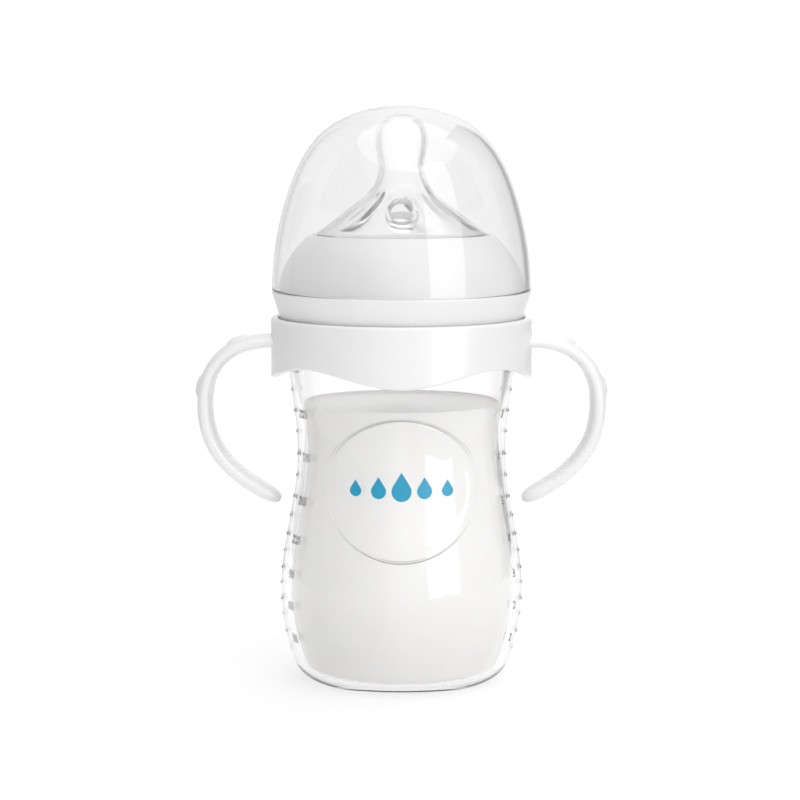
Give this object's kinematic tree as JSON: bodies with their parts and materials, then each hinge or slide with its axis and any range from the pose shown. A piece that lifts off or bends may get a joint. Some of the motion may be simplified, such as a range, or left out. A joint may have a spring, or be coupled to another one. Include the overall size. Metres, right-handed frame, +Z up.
{
  "type": "baby bottle",
  "caption": "Hourglass baby bottle with a screw collar, soft teat, clear dome cover and a ring with open side handles.",
  "frame": {"origin": "centre of the bottle's base, on the plane that it stands on", "axes": "+Z up along the bottle's axis, +X towards one handle, -Y towards the front medallion"},
  "size_m": [0.119, 0.0748, 0.165],
  "materials": {
    "bottle_glass": "clear, glossy moulded wall",
    "print_ink": "cyan screen print",
    "milk": "liquid, faintly warm white",
    "silicone": "clear soft silicone",
    "white_plastic": "smooth satin white moulding",
    "clear_plastic": "clear glossy thin shell"
  },
  "bodies": {
    "bottle": {"bottle_body": "bottle_glass", "front_print": "print_ink", "milk_fill": "milk"},
    "handles": {"handle_ring": "white_plastic"},
    "teat": {"teat": "silicone"},
    "collar": {"collar_ring": "white_plastic"},
    "cover": {"dome_cover": "clear_plastic"}
  },
  "joints": [
    {"name": "handle_turn", "type": "hinge", "parent": "bottle", "child": "handles", "pos_m": [0, 0, 0.1005], "axis": [0, 0, 1], "continuous": true},
    {"name": "teat_lift", "type": "slide", "parent": "bottle", "child": "teat", "axis": [0, 0, 1], "range_m": [0, 0.00501]},
    {"name": "collar_turn", "type": "hinge", "parent": "teat", "child": "collar", "pos_m": [0, 0, 0.103], "axis": [0, 0, 1], "range_deg": [0, 450]},
    {"name": "cover_lift", "type": "slide", "parent": "collar", "child": "cover", "axis": [0, 0, 1], "range_m": [0, 0.08]}
  ],
  "couplings": [
    {"joint": "teat_lift", "follows": "collar_turn", "m_per_rad": 0.00063662}
  ]
}
